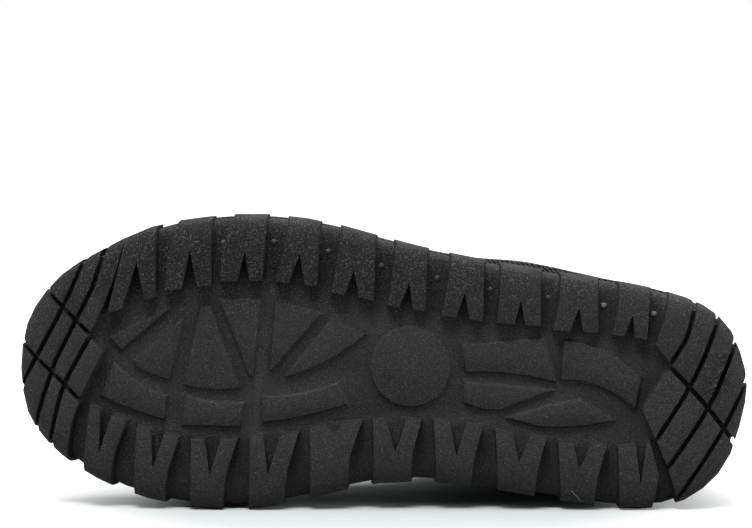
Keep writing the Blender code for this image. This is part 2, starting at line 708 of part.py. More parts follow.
def upper_rings():
    rings = [
        ring(seat_inset, lambda x: cup_floor(x) + SEAT_GAP),
        ring(seat_inset, lambda x: rim_height(x) + SEAT_GAP),
        ring(swell_inset, lambda x: rim_height(x) + SEAT_GAP),
    ]
    foot = ring(swell_inset, lambda x: rim_height(x) + BULGE_HEIGHT)
    rings.append(foot)
    throat = shaft_loop(0.0)
    vamp = [[] for _ in range(VAMP_RINGS)]
    for i, turn in enumerate(TURNS):
        start = foot[i]
        goal = throat[i]
        front = 1.0 - eased(start.x, along(VAMP_END), along(COUNTER_START))
        reach = (goal - start.to_2d()).length
        inwards = (inset_point(turn, 1.0) - inset_point(turn, 0.0)).normalized()
        slant = max(LEAST_SLANT, inwards.dot((goal - start.to_2d()).normalized())) if reach > 0.01 else 1.0
        _, start_half = outline_middle(start.x)
        edge_reach = TOE_EDGE_REACH + TOE_EDGE_SHARE * min(start_half, BALL_WIDTH / 2.0)
        for k in range(1, VAMP_RINGS + 1):
            s = 1.0 - k / VAMP_RINGS
            stay = front * math.sin(s * math.pi / 2.0) + (1.0 - front) * eased(s, 0.0, 1.0)
            plan = goal.lerp(start.to_2d(), stay)
            middle, half = outline_middle(plan.x)
            crown = vamp_crown(plan, middle, half, start.z)
            tau = min(1.0, (1.0 - stay) * reach * slant / edge_reach)
            rounding = math.sqrt(max(0.0, 1.0 - (1.0 - tau) ** TOE_EDGE_POWER))
            over = start.z + (crown - start.z) * rounding
            behind = start.z + (COUNTER_HEIGHT - start.z) * (1.0 - s)
            vamp[k - 1].append(Vector((plan.x, plan.y, front * over + (1.0 - front) * behind)))
    rings += vamp
    base = vamp[-1]
    for up in SHAFT_RINGS:
        loop = shaft_loop(up)
        heights = [low.z + (COLLAR_HEIGHT - low.z) * up for low in base]
        rings.append([Vector((p.x, p.y, z)) for p, z in zip(loop, heights)])
    return rings


def relax(rings, first, last, times):
    """Ease the corner between vamp and shaft by averaging each loop with its neighbours."""
    for _ in range(times):
        copy = [list(points) for points in rings]
        for k in range(first, last + 1):
            rings[k] = [
                (copy[k - 1][i] + copy[k][i] * 2.0 + copy[k + 1][i]) / 4.0
                for i in range(len(copy[k]))
            ]
    return rings


rings_below_throat = 3 + VAMP_RINGS
surface = relax(upper_rings(), rings_below_throat - 1, rings_below_throat + 1, THROAT_ROUNDING)
shell = bmesh.new()
loops = [[shell.verts.new(p) for p in points] for points in surface]
for lower, upper_loop in zip(loops[:-1], loops[1:]):
    bridge(shell, lower, upper_loop)
upper = new_object("upper", shell)
wall = upper.modifiers.new("wall", "SOLIDIFY")
wall.thickness = UPPER_WALL
wall.offset = -1.0
wall.use_even_offset = True
bpy.context.view_layer.objects.active = upper
bpy.ops.object.modifier_apply(modifier=wall.name)
finish(upper, 0, TEXTILE)

# The insole lies on the cup's floor, inside the upper
insole_inset = seat_inset + UPPER_WALL + SEAT_GAP
insole = loft(
    "insole",
    [
        ring(insole_inset, lambda x: cup_floor(x) + SEAT_GAP),
        ring(insole_inset, lambda x: cup_floor(x) + SEAT_GAP + INSOLE_THICKNESS),
    ],
    cap_first="ladder",
    cap_last="ladder",
)
finish(insole, 0, FELT)

# The boot lies on its inner side, its middle over the origin
rest = bpy.data.objects.new("lying on the inner side", None)
bpy.context.collection.objects.link(rest)
rest.rotation_euler = (-math.pi / 2.0, 0.0, 0.0)
corners = [v.co for made in (sole, upper, insole) for v in made.data.vertices]
x_middle = (min(c.x for c in corners) + max(c.x for c in corners)) / 2.0
z_middle = (min(c.z for c in corners) + max(c.z for c in corners)) / 2.0
rest.location = (-x_middle, -z_middle, max(c.y for c in corners))
for made in (sole, upper, insole):
    made.parent = rest
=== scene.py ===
# %% [markdown]
# # A winter boot lying on its inner side
#
# The boot is a woven textile upper held in a deep rubber cup sole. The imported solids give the
# exact shapes. This notebook dresses them: it copies each solid, softens its edges, adds the
# small things a solid leaves out, and gives every piece the finish of its real material.

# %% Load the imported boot
import json
import math

import bmesh
import bpy
from mathutils import Matrix, Vector
from mathutils.bvhtree import BVHTree
from mathutils.kdtree import KDTree

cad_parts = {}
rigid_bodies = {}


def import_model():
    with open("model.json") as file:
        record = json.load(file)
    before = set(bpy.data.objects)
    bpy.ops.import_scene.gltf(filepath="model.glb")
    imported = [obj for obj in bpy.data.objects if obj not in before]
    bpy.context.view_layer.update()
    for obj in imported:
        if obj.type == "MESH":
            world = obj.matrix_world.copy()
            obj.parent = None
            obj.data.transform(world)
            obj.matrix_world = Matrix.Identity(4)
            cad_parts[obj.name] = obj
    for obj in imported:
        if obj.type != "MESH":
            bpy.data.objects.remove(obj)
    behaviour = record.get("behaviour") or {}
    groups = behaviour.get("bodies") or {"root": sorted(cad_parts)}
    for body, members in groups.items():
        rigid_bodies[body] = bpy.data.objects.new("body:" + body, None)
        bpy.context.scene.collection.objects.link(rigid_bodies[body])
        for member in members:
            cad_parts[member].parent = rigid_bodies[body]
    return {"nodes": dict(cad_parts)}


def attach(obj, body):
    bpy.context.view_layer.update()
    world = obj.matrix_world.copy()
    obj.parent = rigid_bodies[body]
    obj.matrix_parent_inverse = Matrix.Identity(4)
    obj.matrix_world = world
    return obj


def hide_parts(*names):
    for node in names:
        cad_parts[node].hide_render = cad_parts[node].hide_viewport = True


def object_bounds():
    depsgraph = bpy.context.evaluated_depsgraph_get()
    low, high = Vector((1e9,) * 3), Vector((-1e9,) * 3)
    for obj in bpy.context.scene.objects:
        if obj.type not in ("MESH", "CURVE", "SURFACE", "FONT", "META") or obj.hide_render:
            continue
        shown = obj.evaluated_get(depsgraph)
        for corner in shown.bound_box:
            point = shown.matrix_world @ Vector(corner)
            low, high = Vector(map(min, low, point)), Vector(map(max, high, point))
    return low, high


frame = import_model()
cad_box = [list(corner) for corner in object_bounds()]
bpy.ops.object.select_all(action="DESELECT")
print("nodes:", sorted(frame["nodes"]))
print("box in mm:", [[round(1000.0 * c, 1) for c in corner] for corner in cad_box])

# %% [markdown]
# ## The camera
#
# The boot is seen square on to its tread from a long way off, so a long lens is used and the
# camera stands only five degrees above the floor. It aims at a point on the tread's plane. The
# distance sets the perspective and the lens then sets how much of the boot fills the picture.

# %% Place the camera
MM = 0.001
VIEW_HEIGHT = math.radians(5.0)
VIEW_DISTANCE = 1.8
VIEW_WIDTH = 316.8 * MM
SENSOR_WIDTH = 36.0
AIM_ALONG = -2.9 * MM
AIM_HEIGHT = 105.0 * MM
aim = Vector((AIM_ALONG, cad_box[0][1], AIM_HEIGHT))

camera_data = bpy.data.cameras.new("camera")
camera_data.sensor_width = SENSOR_WIDTH
camera_data.lens = SENSOR_WIDTH * VIEW_DISTANCE / VIEW_WIDTH
camera = bpy.data.objects.new("camera", camera_data)
bpy.context.scene.collection.objects.link(camera)
backwards = Vector((0.0, -math.cos(VIEW_HEIGHT), math.sin(VIEW_HEIGHT)))
camera.location = aim + backwards * VIEW_DISTANCE
camera.rotation_euler = backwards.to_track_quat("Z", "Y").to_euler()
bpy.context.scene.camera = camera
print("lens in mm:", round(camera_data.lens, 1))

# %% [markdown]
# ## Floor, backdrop and light
#
# A product table is a white sheet under large soft lamps, with a lit backdrop behind it. A plain
# plane is enough: it glows more and more with the distance from the boot, as a lit sweep does.
# The main lamp hangs over the boot and in front of it, so edges that look up catch a bright line
# and the hollows under them stay dark. The room behind the camera is dim, which keeps the rubber
# black. For the same reason the boot sees a greyer floor than the camera does.

# %% Lay the floor
FLOOR_SIZE = 12.0
FLOOR_DROP = 0.05 * MM
FLOOR_SEEN = (0.56, 0.585, 0.59, 1.0)
FLOOR_DIM = (0.3, 0.305, 0.31, 1.0)
SWEEP_MIDDLE = (0.0, -0.1, 0.0)
SWEEP_START = 0.08
SWEEP_END = 0.2
SWEEP_GLOW = 1.0
WHITE = (1.0, 1.0, 1.0, 1.0)
bpy.ops.mesh.primitive_plane_add(size=FLOOR_SIZE, location=(0.0, 0.0, -FLOOR_DROP))
floor = bpy.context.object
floor.name = "floor"
floor_paint = bpy.data.materials.new("white table")
floor_paint.use_nodes = True
floor_tree = floor_paint.node_tree
floor_shader = floor_tree.nodes["Principled BSDF"]
floor_shader.inputs["Base Color"].default_value = FLOOR_SEEN
floor_shader.inputs["Roughness"].default_value = 0.6
floor_shader.inputs["Specular IOR Level"].default_value = 0.1
floor_shader.inputs["Emission Color"].default_value = WHITE
floor_place = floor_tree.nodes.new("ShaderNodeTexCoord")
floor_away = floor_tree.nodes.new("ShaderNodeVectorMath")
floor_away.operation = "DISTANCE"
floor_away.inputs[1].default_value = SWEEP_MIDDLE
floor_glow = floor_tree.nodes.new("ShaderNodeMapRange")
floor_glow.interpolation_type = "SMOOTHSTEP"
floor_glow.inputs["From Min"].default_value = SWEEP_START
floor_glow.inputs["From Max"].default_value = SWEEP_END
floor_glow.inputs["To Max"].default_value = SWEEP_GLOW
floor_tree.links.new(floor_place.outputs["Object"], floor_away.inputs[0])
floor_tree.links.new(floor_away.outputs["Value"], floor_glow.inputs["Value"])
floor_tree.links.new(floor_glow.outputs["Result"], floor_shader.inputs["Emission Strength"])
floor_path = floor_tree.nodes.new("ShaderNodeLightPath")
floor_dim = floor_tree.nodes.new("ShaderNodeBsdfDiffuse")
floor_dim.inputs["Color"].default_value = FLOOR_DIM
floor_mix = floor_tree.nodes.new("ShaderNodeMixShader")
floor_tree.links.new(floor_path.outputs["Is Camera Ray"], floor_mix.inputs[0])
floor_tree.links.new(floor_dim.outputs[0], floor_mix.inputs[1])
floor_tree.links.new(floor_shader.outputs[0], floor_mix.inputs[2])
floor_tree.links.new(floor_mix.outputs[0], floor_tree.nodes["Material Output"].inputs["Surface"])
floor.data.materials.append(floor_paint)
floor.select_set(False)
print("floor:", floor.name)

# %% Hang the lamps
LAMPS = (
    ("key lamp", (-0.15, -0.8, 1.25), (0.0, -0.1, 0.0), (0.7, 0.4), 17.0),
    ("top lamp", (-0.1, -0.1, 1.2), (0.0, -0.1, 0.0), (1.2, 0.8), 11.0),
    ("left lamp", (-1.4, -0.5, 0.5), (-0.1, -0.1, 0.06), (0.8, 0.8), 8.0),
    ("right lamp", (1.3, -0.7, 0.35), (0.12, -0.1, 0.06), (0.7, 0.5), 10.0),
    ("back lamp", (0.2, 0.9, 1.5), (0.0, -0.05, 0.1), (1.0, 0.6), 14.0),
)


def soft_lamp(name, place, target, size, watts):
    """Rectangular white area lamp that faces a target."""
    data = bpy.data.lights.new(name, "AREA")
    data.shape = "RECTANGLE"
    data.size = size[0]
    data.size_y = size[1]
    data.energy = watts
    lamp = bpy.data.objects.new(name, data)
    bpy.context.scene.collection.objects.link(lamp)
    lamp.location = place
    lamp.rotation_euler = (Vector(place) - Vector(target)).to_track_quat("Z", "Y").to_euler()


for lamp_values in LAMPS:
    soft_lamp(*lamp_values)
print("lamps:", [values[0] for values in LAMPS])

# %% Paint the surroundings: white for the camera, bright behind the boot and dim in front of it
DIM_FRONT = 0.06
BRIGHT_BACK = 0.35
DIM_UNTIL = -0.75
BRIGHT_FROM = 0.1
SKY_TINT = (0.96, 0.98, 1.0, 1.0)
world = bpy.data.worlds.new("studio")
bpy.context.scene.world = world
world.use_nodes = True
sky = world.node_tree
sky.nodes.clear()
sky_way = sky.nodes.new("ShaderNodeTexCoord")
sky_axes = sky.nodes.new("ShaderNodeSeparateXYZ")
sky_share = sky.nodes.new("ShaderNodeMapRange")
sky_share.interpolation_type = "SMOOTHSTEP"
sky_share.inputs["From Min"].default_value = DIM_UNTIL
sky_share.inputs["From Max"].default_value = BRIGHT_FROM
sky_share.inputs["To Min"].default_value = DIM_FRONT
sky_share.inputs["To Max"].default_value = BRIGHT_BACK
sky_path = sky.nodes.new("ShaderNodeLightPath")
sky_seen = sky.nodes.new("ShaderNodeBackground")
sky_seen.inputs["Color"].default_value = WHITE
sky_seen.inputs["Strength"].default_value = 1.0
sky_lit = sky.nodes.new("ShaderNodeBackground")
sky_lit.inputs["Color"].default_value = SKY_TINT
sky_mix = sky.nodes.new("ShaderNodeMixShader")
sky_out = sky.nodes.new("ShaderNodeOutputWorld")
sky.links.new(sky_way.outputs["Generated"], sky_axes.inputs[0])
sky.links.new(sky_axes.outputs["Y"], sky_share.inputs["Value"])
sky.links.new(sky_share.outputs["Result"], sky_lit.inputs["Strength"])
sky.links.new(sky_path.outputs["Is Camera Ray"], sky_mix.inputs[0])
sky.links.new(sky_lit.outputs[0], sky_mix.inputs[1])
sky.links.new(sky_seen.outputs[0], sky_mix.inputs[2])
sky.links.new(sky_mix.outputs[0], sky_out.inputs["Surface"])
bpy.context.scene.view_settings.view_transform = "Standard"
print("surroundings:", world.name)

# %% [markdown]
# ## Tools for shaders
#
# Materials are small graphs of nodes. Short helpers keep them readable: some add one node each,
# for arithmetic, noise, a mix of colours or a bump. Others make a group with named sockets, put a
# group into a material, or start a material.

# %% Make the node helpers
def connect(tree, value, socket):
    """Link an output, or write a number, into a socket."""
    if isinstance(value, bpy.types.NodeSocket):
        tree.links.new(value, socket)
    else:
        socket.default_value = value


def sums(tree, operation, first, second=0.0, third=0.0):
    """One arithmetic node; returns its result."""
    made = tree.nodes.new("ShaderNodeMath")
    made.operation = operation
    connect(tree, first, made.inputs[0])
    connect(tree, second, made.inputs[1])
    connect(tree, third, made.inputs[2])
    return made.outputs[0]


def rescale(tree, value, low, high, to_low=0.0, to_high=1.0):
    """Stretch a range of values onto another, with soft ends."""
    made = tree.nodes.new("ShaderNodeMapRange")
    made.interpolation_type = "SMOOTHSTEP"
    connect(tree, value, made.inputs["Value"])
    connect(tree, low, made.inputs["From Min"])
    connect(tree, high, made.inputs["From Max"])
    connect(tree, to_low, made.inputs["To Min"])
    connect(tree, to_high, made.inputs["To Max"])
    return made.outputs["Result"]


def noise(tree, place, scale, detail=2.0, roughness=0.5):
    """Noise value at a place; the scale counts its lumps along a metre."""
    made = tree.nodes.new("ShaderNodeTexNoise")
    tree.links.new(place, made.inputs["Vector"])
    connect(tree, scale, made.inputs["Scale"])
    made.inputs["Detail"].default_value = detail
    made.inputs["Roughness"].default_value = roughness
    return made.outputs["Fac"]


def blend_colour(tree, share, first, second):
    """Mix of two colours."""
    made = tree.nodes.new("ShaderNodeMix")
    made.data_type = "RGBA"
    connect(tree, share, made.inputs["Factor"])
    connect(tree, first, made.inputs["A"])
    connect(tree, second, made.inputs["B"])
    return made.outputs["Result"]


def new_group(name, inputs, outputs):
    """Empty group with named sockets; returns the group and its two end nodes."""
    group = bpy.data.node_groups.new(name, "ShaderNodeTree")
    for label, kind, value in inputs:
        socket = group.interface.new_socket(name=label, in_out="INPUT", socket_type=kind)
        if value is not None:
            socket.default_value = value
    for label, kind in outputs:
        group.interface.new_socket(name=label, in_out="OUTPUT", socket_type=kind)
    return group, group.nodes.new("NodeGroupInput"), group.nodes.new("NodeGroupOutput")


def use_group(tree, group, **values):
    """Node that runs a group with its own values."""
    made = tree.nodes.new("ShaderNodeGroup")
    made.node_tree = group
    for label, value in values.items():
        connect(tree, value, made.inputs[label.replace("_", " ")])
    return made


def new_material(name, roughness, specular):
    """Material with a Principled shader; returns it with its tree, shader and object coordinates."""
    material = bpy.data.materials.new(name)
    material.use_nodes = True
    tree = material.node_tree
    shader = tree.nodes["Principled BSDF"]
    shader.inputs["Roughness"].default_value = roughness
    shader.inputs["Specular IOR Level"].default_value = specular
    place = tree.nodes.new("ShaderNodeTexCoord")
    return material, tree, shader, place


def add_bump(tree, shader, height, distance, strength=1.0):
    """Bump whose height is in shares of the distance, in metres."""
    made = tree.nodes.new("ShaderNodeBump")
    made.inputs["Strength"].default_value = strength
    made.inputs["Distance"].default_value = distance
    tree.links.new(height, made.inputs["Height"])
    tree.links.new(made.outputs["Normal"], shader.inputs["Normal"])


FLOAT = "NodeSocketFloat"
VECTOR = "NodeSocketVector"
print("shader helpers ready")

# %% [markdown]
# ## Moulded grain
#
# The mould of a rubber sole is sand-blasted, so the rubber has a fine grain that glitters under a
# lamp. It is finer on the faces of the lugs and coarser round the outer edge. The grain is a group
# because the sole and its small moulded bits share it. It mixes two sizes of noise for the height.
# A third noise gives pale specks, painted glints of the lamp on the grain, and a slow one the
# change of tone that rubber always has.

# %% Build the grain group
FINE_GRAIN = 2100.0
COARSE_GRAIN = 950.0
GLINT_GRAIN = 1500.0
SLOW_TONE = 45.0
grain_group, grain_in, grain_out = new_group(
    "moulded grain",
    [
        ("Place", VECTOR, None),
        ("Fine", FLOAT, FINE_GRAIN),
        ("Coarse", FLOAT, COARSE_GRAIN),
        ("Coarse share", FLOAT, 0.4),
    ],
    [("Height", FLOAT), ("Tone", FLOAT), ("Glint", FLOAT)],
)
grain_fine = noise(grain_group, grain_in.outputs["Place"], grain_in.outputs["Fine"], 2.0, 0.6)
grain_coarse = noise(grain_group, grain_in.outputs["Place"], grain_in.outputs["Coarse"], 2.0, 0.6)
grain_mixed = grain_group.nodes.new("ShaderNodeMix")
grain_group.links.new(grain_in.outputs["Coarse share"], grain_mixed.inputs["Factor"])
grain_group.links.new(grain_fine, grain_mixed.inputs["A"])
grain_group.links.new(grain_coarse, grain_mixed.inputs["B"])
grain_group.links.new(grain_mixed.outputs["Result"], grain_out.inputs["Height"])
grain_slow = noise(grain_group, grain_in.outputs["Place"], SLOW_TONE, 3.0, 0.6)
grain_group.links.new(rescale(grain_group, grain_slow, 0.3, 0.7), grain_out.inputs["Tone"])
# Pale specks: painted glints of the lamp on the grain.
grain_glint = noise(grain_group, grain_in.outputs["Place"], GLINT_GRAIN, 2.0, 0.6)
grain_group.links.new(rescale(grain_group, grain_glint, 0.52, 0.72), grain_out.inputs["Glint"])
print("group:", grain_group.name)

# %% [markdown]
# ## Black rubber
#
# Rubber is dark all through and has a weak, broad shine. Its base colour is nearly black with a
# hint of violet. The hollows of its grain are painted nearly black, a painted shade. A face that
# turns away from the tread's direction belongs to the outer edge or a side wall, and there the
# grain grows and its pale specks, painted glints of the lamp, are stronger. The upper half is
# painted blacker, a painted shade, and it is duller; its painted glints are stronger there too,
# because the lamp grazes its grain. One lug of the heel has been scraped: its face is torn and
# shinier.

# %% Find the turned faces, the upper half and the scraped lug
SCRAPE_MIDDLE = (140.5 * MM, 59.0 * MM)
SCRAPE_HALF = (6.5 * MM, 9.5 * MM)
FULL_SCRAPE = 0.6
CHIP_SCALE = 420.0
HIGH_FROM = 70.0 * MM
HIGH_TO = 105.0 * MM
rubber, rubber_tree, rubber_shader, rubber_place = new_material("black rubber", 0.5, 0.3)
rubber_turn = rubber_tree.nodes.new("ShaderNodeSeparateXYZ")
rubber_tree.links.new(rubber_place.outputs["Normal"], rubber_turn.inputs[0])
rubber_facing = sums(rubber_tree, "MULTIPLY", rubber_turn.outputs["Y"], -1.0)
rubber_side = rescale(rubber_tree, rubber_facing, 0.98, 0.6)
rubber_axes = rubber_tree.nodes.new("ShaderNodeSeparateXYZ")
rubber_tree.links.new(rubber_place.outputs["Object"], rubber_axes.inputs[0])
rubber_high = rescale(rubber_tree, rubber_axes.outputs["Z"], HIGH_FROM, HIGH_TO)


def near_middle(axis, middle, half):
    """One at the middle of a stretch of an axis, fading to none at its ends."""
    shift = sums(rubber_tree, "SUBTRACT", rubber_axes.outputs[axis], middle)
    return rescale(rubber_tree, sums(rubber_tree, "ABSOLUTE", shift), half, FULL_SCRAPE * half)


scrape_area = sums(
    rubber_tree,
    "MULTIPLY",
    near_middle("X", SCRAPE_MIDDLE[0], SCRAPE_HALF[0]),
    near_middle("Z", SCRAPE_MIDDLE[1], SCRAPE_HALF[1]),
)
scrape_chips = noise(rubber_tree, rubber_place.outputs["Object"], CHIP_SCALE, 4.0, 0.7)
scrape_depth = sums(rubber_tree, "MULTIPLY", scrape_area, rescale(rubber_tree, scrape_chips, 0.42, 0.6))
print("scraped lug at:", [round(c, 4) for c in SCRAPE_MIDDLE])

# %% Mix the rubber
DEEP_BLACK = (0.0105, 0.0102, 0.0115, 1.0)
WORN_BLACK = (0.0165, 0.016, 0.0178, 1.0)
# Nearly black for the hollows of the grain: painted shade.
PIT_SHADE_BLACK = (0.0025, 0.0025, 0.0028, 1.0)
# Pale grey for the specks: painted glints of the lamp.
GLINT_GREY = (0.085, 0.085, 0.086, 1.0)
TORN_GREY = (0.06, 0.06, 0.061, 1.0)
RUBBER_RELIEF = 0.6 * MM
rubber_grain = use_group(
    rubber_tree,
    grain_group,
    Place=rubber_place.outputs["Object"],
    Coarse_share=sums(rubber_tree, "MULTIPLY_ADD", rubber_side, 0.35, 0.35),
)
rubber_tone = blend_colour(rubber_tree, rubber_grain.outputs["Tone"], DEEP_BLACK, WORN_BLACK)
# Painted shade in the hollows of the grain.
rubber_pit_shade = rescale(rubber_tree, rubber_grain.outputs["Height"], 0.4, 0.56, 0.9, 0.0)
# Painted shade over the upper half of the sole.
rubber_upper_shade = sums(rubber_tree, "MULTIPLY", rubber_high, 0.95)
rubber_shade = sums(rubber_tree, "MAXIMUM", rubber_pit_shade, rubber_upper_shade)
rubber_dark = blend_colour(rubber_tree, rubber_shade, rubber_tone, PIT_SHADE_BLACK)
# The painted glints are stronger where the lamp grazes: on the upper half and the turned faces.
rubber_grazed = sums(rubber_tree, "MAXIMUM", rubber_high, rubber_side)
rubber_glint_strength = sums(rubber_tree, "MULTIPLY_ADD", rubber_grazed, 0.3, 0.5)
rubber_glint = sums(rubber_tree, "MULTIPLY", rubber_grain.outputs["Glint"], rubber_glint_strength)
rubber_grey = blend_colour(rubber_tree, rubber_glint, rubber_dark, GLINT_GREY)
rubber_torn = sums(rubber_tree, "MULTIPLY", scrape_depth, 0.7)
rubber_colour = blend_colour(rubber_tree, rubber_torn, rubber_grey, TORN_GREY)
rubber_tree.links.new(rubber_colour, rubber_shader.inputs["Base Color"])

# %% Give the rubber its shine and its relief
rubber_roughness = rescale(rubber_tree, rubber_grain.outputs["Tone"], 0.0, 1.0, 0.5, 0.6)
rubber_gloss = sums(rubber_tree, "MULTIPLY_ADD", scrape_area, -0.22, rubber_roughness)
rubber_dull = sums(rubber_tree, "MULTIPLY_ADD", rubber_high, 0.2, rubber_gloss)
rubber_tree.links.new(rubber_dull, rubber_shader.inputs["Roughness"])
rubber_relief = sums(rubber_tree, "MULTIPLY_ADD", scrape_depth, 9.0, rubber_grain.outputs["Height"])
add_bump(rubber_tree, rubber_shader, rubber_relief, RUBBER_RELIEF)
print("material:", rubber.name)

# %% [markdown]
# ## The rubber sole
#
# A moulded sole has no knife-sharp edges: the mould's corners are cut with a round tool. The copy
# of the solid is merged, its flat faces are joined again, and a narrow bevel rounds every edge.
# Where an edge is too short for the bevel, the new faces would fold over each other. So the bevel
# is tried on a copy first, the folded faces are found by their normals, and the edges beside them
# stay sharp.

# %% Make the copy helpers
MERGE_GAP = 0.002 * MM


def only(piece):
    """Select one piece and make it active."""
    bpy.ops.object.select_all(action="DESELECT")
    piece.select_set(True)
    bpy.context.view_layer.objects.active = piece


def twin(source, name):
    """New piece with its own copy of a mesh."""
    piece = bpy.data.objects.new(name, source.data.copy())
    bpy.context.scene.collection.objects.link(piece)
    only(piece)
    return piece


def copy_solid(node, name):
    """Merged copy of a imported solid, as a new piece."""
    piece = twin(frame["nodes"][node], name)
    piece.data.materials.clear()
    bpy.ops.object.mode_set(mode="EDIT")
    bpy.ops.mesh.select_all(action="SELECT")
    bpy.ops.mesh.remove_doubles(threshold=MERGE_GAP)
    bpy.ops.mesh.customdata_custom_splitnormals_clear()
    bpy.ops.object.mode_set(mode="OBJECT")
    return piece


def apply_all(piece):
    """Apply every modifier of a piece in order."""
    only(piece)
    for modifier in list(piece.modifiers):
        bpy.ops.object.modifier_apply(modifier=modifier.name)


# %% Copy the sole and mark its sharp edges
SHARP_FROM = math.radians(30.0)
FLAT_WITHIN = math.radians(0.4)
sole = copy_solid("outsole", "rubber_sole")
bpy.ops.object.mode_set(mode="EDIT")
bpy.ops.mesh.select_all(action="SELECT")
bpy.ops.mesh.dissolve_limited(angle_limit=FLAT_WITHIN)
bpy.ops.mesh.select_mode(type="EDGE")
bpy.ops.mesh.select_all(action="DESELECT")
bpy.ops.mesh.edges_select_sharp(sharpness=SHARP_FROM)
bpy.ops.transform.edge_bevelweight(value=1.0)
bpy.ops.object.mode_set(mode="OBJECT")
print("faces after joining:", len(sole.data.polygons))

# %% Try the bevel and ease it where it folds
EDGE_BEVEL = 0.3 * MM
STRAY = 0.6 * MM
EASE_REACH = 0.5 * MM
TRIES = 4
LEAST_AREA = 1e-11
FOLDED_TURN = -0.1


def bevel_edges(piece):
    """Round the weighted edges of a piece."""
    round_edges = piece.modifiers.new("round edges", "BEVEL")
    round_edges.width = EDGE_BEVEL
    round_edges.segments = 2
    round_edges.limit_method = "WEIGHT"
    round_edges.use_clamp_overlap = False
    apply_all(piece)


def triangles_of(piece):
    """Working copy of a mesh, cut into triangles."""
    work = bmesh.new()
    work.from_mesh(piece.data)
    bmesh.ops.triangulate(work, faces=work.faces)
    work.normal_update()
    return work


true_shape = triangles_of(sole)
true_tree = BVHTree.FromBMesh(true_shape)
true_shape.free()
for attempt in range(TRIES):
    trial = twin(sole, "trial")
    bevel_edges(trial)
    work = triangles_of(trial)
    folded = []
    for face in work.faces:
        _, normal, _, gap = true_tree.find_nearest(face.calc_center_median())
        strayed = normal.dot(face.normal) < FOLDED_TURN or gap > STRAY
        if strayed and face.calc_area() > LEAST_AREA:
            folded += [vertex.co.copy() for vertex in face.verts]
    work.free()
    bpy.data.objects.remove(trial)
    print("try", attempt + 1, "folded corners:", len(folded))
    if not folded:
        break
    near_fold = KDTree(len(folded))
    for i, place in enumerate(folded):
        near_fold.insert(place, i)
    near_fold.balance()
    weights = sole.data.attributes["bevel_weight_edge"].data
    for edge in sole.data.edges:
        ends = [near_fold.find(sole.data.vertices[v].co)[2] for v in edge.vertices]
        if min(ends) < EASE_REACH:
            weights[edge.index].value = 0.0

# %% Round the edges for good
SOLE_SMOOTH = math.radians(35.0)
bevel_edges(sole)
bpy.ops.object.shade_smooth_by_angle(angle=SOLE_SMOOTH)
sole.data.materials.append(rubber)
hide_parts("outsole")
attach(sole, "root")
print("sole faces:", len(sole.data.polygons))

# %% [markdown]
# ## Nubs of painted highlight
#
# Nine gaps between lugs of the outer side have a small round nub in rubber paler than the sole: a
# painted highlight for the bright spot where the floor of each gap turns up into the edge. A nub is
# a ball that is squashed along its outward direction and half sunk in the floor of its gap. One is
# modelled and the rest are copies. The two nearest the heel are paler still, a stronger painted
# highlight.

# %% Make the nub and the helper that sets out copies
NUB_RADIUS = 1.25 * MM
NUB_SQUASH = (1.0, 0.9, 0.6)
NUB_PLACES = (
    (-67.4, 113.6),
    (-46.0, 114.0),
    (-23.0, 110.0),
    (-0.6, 103.8),
    (22.9, 98.6),
    (45.4, 93.6),
    (69.8, 90.2),
    (93.4, 87.0),
    (114.6, 83.4),
)
PALE_NUBS = 2
TREAD_FRONT = cad_box[0][1] - 20.0 * MM
sole_work = triangles_of(sole)
sole_tree = BVHTree.FromBMesh(sole_work)
sole_work.free()


def set_out(model, places, name):
    """Copies of a model at a list of matrices, joined into one piece; the model is removed."""
    copies = []
    for place in places:
        copy = twin(model, name)
        copy.data.transform(place)
        copies.append(copy)
    bpy.ops.object.select_all(action="DESELECT")
    for copy in copies:
        copy.select_set(True)
    bpy.context.view_layer.objects.active = copies[0]
    bpy.ops.object.join()
    joined = bpy.context.object
    joined.name = name
    bpy.data.objects.remove(model)
    return joined


def finish_piece(piece, material):
    """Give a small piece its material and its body."""
    piece.data.materials.clear()
    piece.data.materials.append(material)
    only(piece)
    bpy.ops.object.shade_smooth()
    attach(piece, "root")
    print(piece.name, "faces:", len(piece.data.polygons))


def upright(place, along_axis, out_axis):
    """Matrix that puts a model's X along one direction and its Z near another."""
    x_axis = along_axis.normalized()
    y_axis = out_axis.cross(x_axis).normalized()
    z_axis = x_axis.cross(y_axis)
    turned = Matrix((x_axis, y_axis, z_axis)).transposed()
    return Matrix.Translation(place) @ turned.to_4x4()


def nub_matrix(x, height):
    """Place on the tread, found by a ray from in front of it."""
    start = Vector((x * MM, TREAD_FRONT, height * MM))
    place, normal, _, _ = sole_tree.ray_cast(start, Vector((0.0, 1.0, 0.0)))
    return upright(place, Vector((1.0, 0.0, 0.0)), normal)


def new_nub():
    """A squashed ball."""
    bpy.ops.object.select_all(action="DESELECT")
    bpy.ops.mesh.primitive_uv_sphere_add(segments=16, ring_count=8, radius=NUB_RADIUS)
    bpy.ops.object.mode_set(mode="EDIT")
    bpy.ops.mesh.select_all(action="SELECT")
    bpy.ops.transform.resize(value=NUB_SQUASH)
    bpy.ops.object.mode_set(mode="OBJECT")
    return bpy.context.object


# %% Mix the rubbers of the nubs and set the nubs out
NUB_RELIEF = 0.3 * MM


def grained_rubber(name, roughness, hollow, crest):
    """Rubber whose colour follows the grain: painted shade in its hollows, lighter on its crests."""
    material, tree, shader, place = new_material(name, roughness, 0.4)
    grain = use_group(tree, grain_group, Place=place.outputs["Object"])
    tree.links.new(blend_colour(tree, grain.outputs["Height"], hollow, crest), shader.inputs["Base Color"])
    add_bump(tree, shader, grain.outputs["Height"], NUB_RELIEF)
    return material


